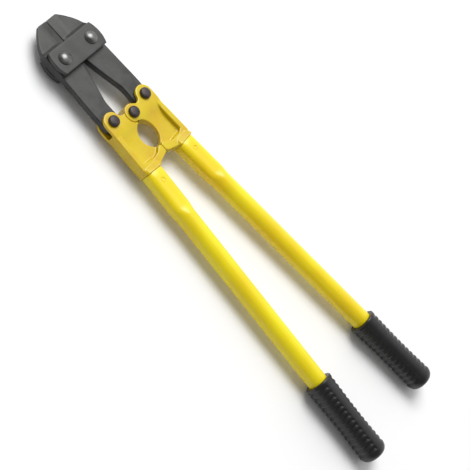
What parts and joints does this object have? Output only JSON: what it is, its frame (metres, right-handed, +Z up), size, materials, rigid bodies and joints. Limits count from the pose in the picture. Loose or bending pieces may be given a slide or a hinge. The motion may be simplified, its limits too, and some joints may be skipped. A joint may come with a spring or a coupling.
{
  "type": "bolt cutters",
  "caption": "Long-handled bolt cutters with a compound lever: forged jaws between bolted side plates, cast handle heads, painted tube handles and ribbed rubber grips.",
  "frame": {"origin": "middle of the underside of the tool as it lies flat with its jaws closed", "axes": "+Y along the tool from the grips to the jaws, +X to the right handle, +Z up through the tool's thickness, parallel to every pivot"},
  "size_m": [0.1576, 0.6102, 0.034],
  "materials": {
    "forged_jaw_steel": "satin dark oxide over forged steel, ground on the cutting bevels",
    "plate_steel": "satin dark oxide on pressed steel plate",
    "zinc_plated_steel": "bright zinc plating",
    "phosphated_steel": "dark phosphated and oiled steel",
    "painted_casting": "gloss yellow enamel over cast steel",
    "painted_tube": "gloss yellow enamel over drawn steel tube",
    "grip_rubber": "moulded black rubber, satin"
  },
  "bodies": {
    "handle_left": {"handle_head_left": "painted_casting", "handle_tube_left": "painted_tube", "grip_left": "grip_rubber", "tang_pin_left": "painted_tube", "link_bolt_left": "phosphated_steel", "link_washer_left": "phosphated_steel", "link_nut_left": "phosphated_steel"},
    "handle_right": {"handle_head_right": "painted_casting", "handle_tube_right": "painted_tube", "grip_right": "grip_rubber", "tang_pin_right": "painted_tube", "link_bolt_right": "phosphated_steel", "link_washer_right": "phosphated_steel", "link_nut_right": "phosphated_steel", "centre_bolt": "phosphated_steel", "centre_washer": "phosphated_steel", "centre_nut": "phosphated_steel"},
    "jaw_left": {"jaw_left": "forged_jaw_steel"},
    "jaw_right": {"jaw_right": "forged_jaw_steel"},
    "side_plates": {"side_plate_front": "plate_steel", "side_plate_back": "plate_steel", "jaw_bolt_left": "zinc_plated_steel", "jaw_bolt_right": "zinc_plated_steel", "jaw_bush_left": "zinc_plated_steel", "jaw_bush_right": "zinc_plated_steel", "jaw_nut_left": "zinc_plated_steel", "jaw_nut_right": "zinc_plated_steel"}
  },
  "joints": [
    {"name": "handles_open", "type": "hinge", "parent": "handle_left", "child": "handle_right", "pos_m": [0, 0.16813, 0.017], "axis": [0, 0, 1], "range_deg": [0, 90]},
    {"name": "jaw_left_link", "type": "hinge", "parent": "handle_left", "child": "jaw_left", "pos_m": [-0.0295, 0.17513, 0.017], "axis": [0, 0, 1], "range_deg": [0, 54.2]},
    {"name": "jaw_right_link", "type": "hinge", "parent": "handle_right", "child": "jaw_right", "pos_m": [0.0295, 0.17513, 0.017], "axis": [0, 0, -1], "range_deg": [0, 54.2]},
    {"name": "side_plates_pivot", "type": "hinge", "parent": "jaw_left", "child": "side_plates", "pos_m": [-0.023, 0.26013, 0.017], "axis": [0, 0, -1], "range_deg": [0, 9.2]}
  ],
  "couplings": [
    {"joint": "jaw_left_link", "follows": "handles_open", "ratio": 0.6016},
    {"joint": "jaw_right_link", "follows": "handles_open", "ratio": 0.6016},
    {"joint": "side_plates_pivot", "follows": "handles_open", "ratio": 0.1016}
  ]
}
